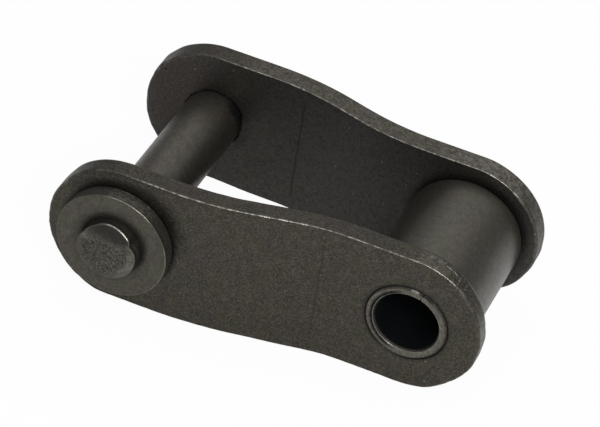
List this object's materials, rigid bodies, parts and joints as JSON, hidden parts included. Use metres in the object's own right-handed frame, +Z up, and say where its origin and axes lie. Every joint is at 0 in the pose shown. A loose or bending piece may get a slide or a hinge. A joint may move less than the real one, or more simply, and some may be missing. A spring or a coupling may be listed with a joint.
{
  "type": "offset chain link",
  "caption": "Offset half link of a roller chain: cranked side plates, joined at the wide end by a pressed pin with keeper washers and at the narrow end by a bushing with a turning roller.",
  "frame": {"origin": "middle of the bushing's bore, half way between the two plates", "axes": "+X from the pin towards the bushing, along the link; +Y along the bores, away from the viewer; +Z up, across the plates"},
  "size_m": [0.0582, 0.039, 0.0198],
  "materials": {
    "plate_steel": "heat-treated, tumbled and oiled dark steel",
    "pin_steel": "smooth dark satin steel, torn at its cropped ends",
    "washer_steel": "smooth dark satin steel",
    "bushing_steel": "dark satin steel curled from strip",
    "roller_steel": "smooth dark satin steel"
  },
  "bodies": {
    "link": {"near_plate": "plate_steel", "far_plate": "plate_steel", "pin": "pin_steel", "near_washer": "washer_steel", "far_washer": "washer_steel", "bushing": "bushing_steel"},
    "roller": {"roller": "roller_steel"}
  },
  "joints": [
    {"name": "roller_spin", "type": "hinge", "parent": "link", "child": "roller", "pos_m": [0, 0, 0], "axis": [0, 1, 0], "continuous": true}
  ]
}
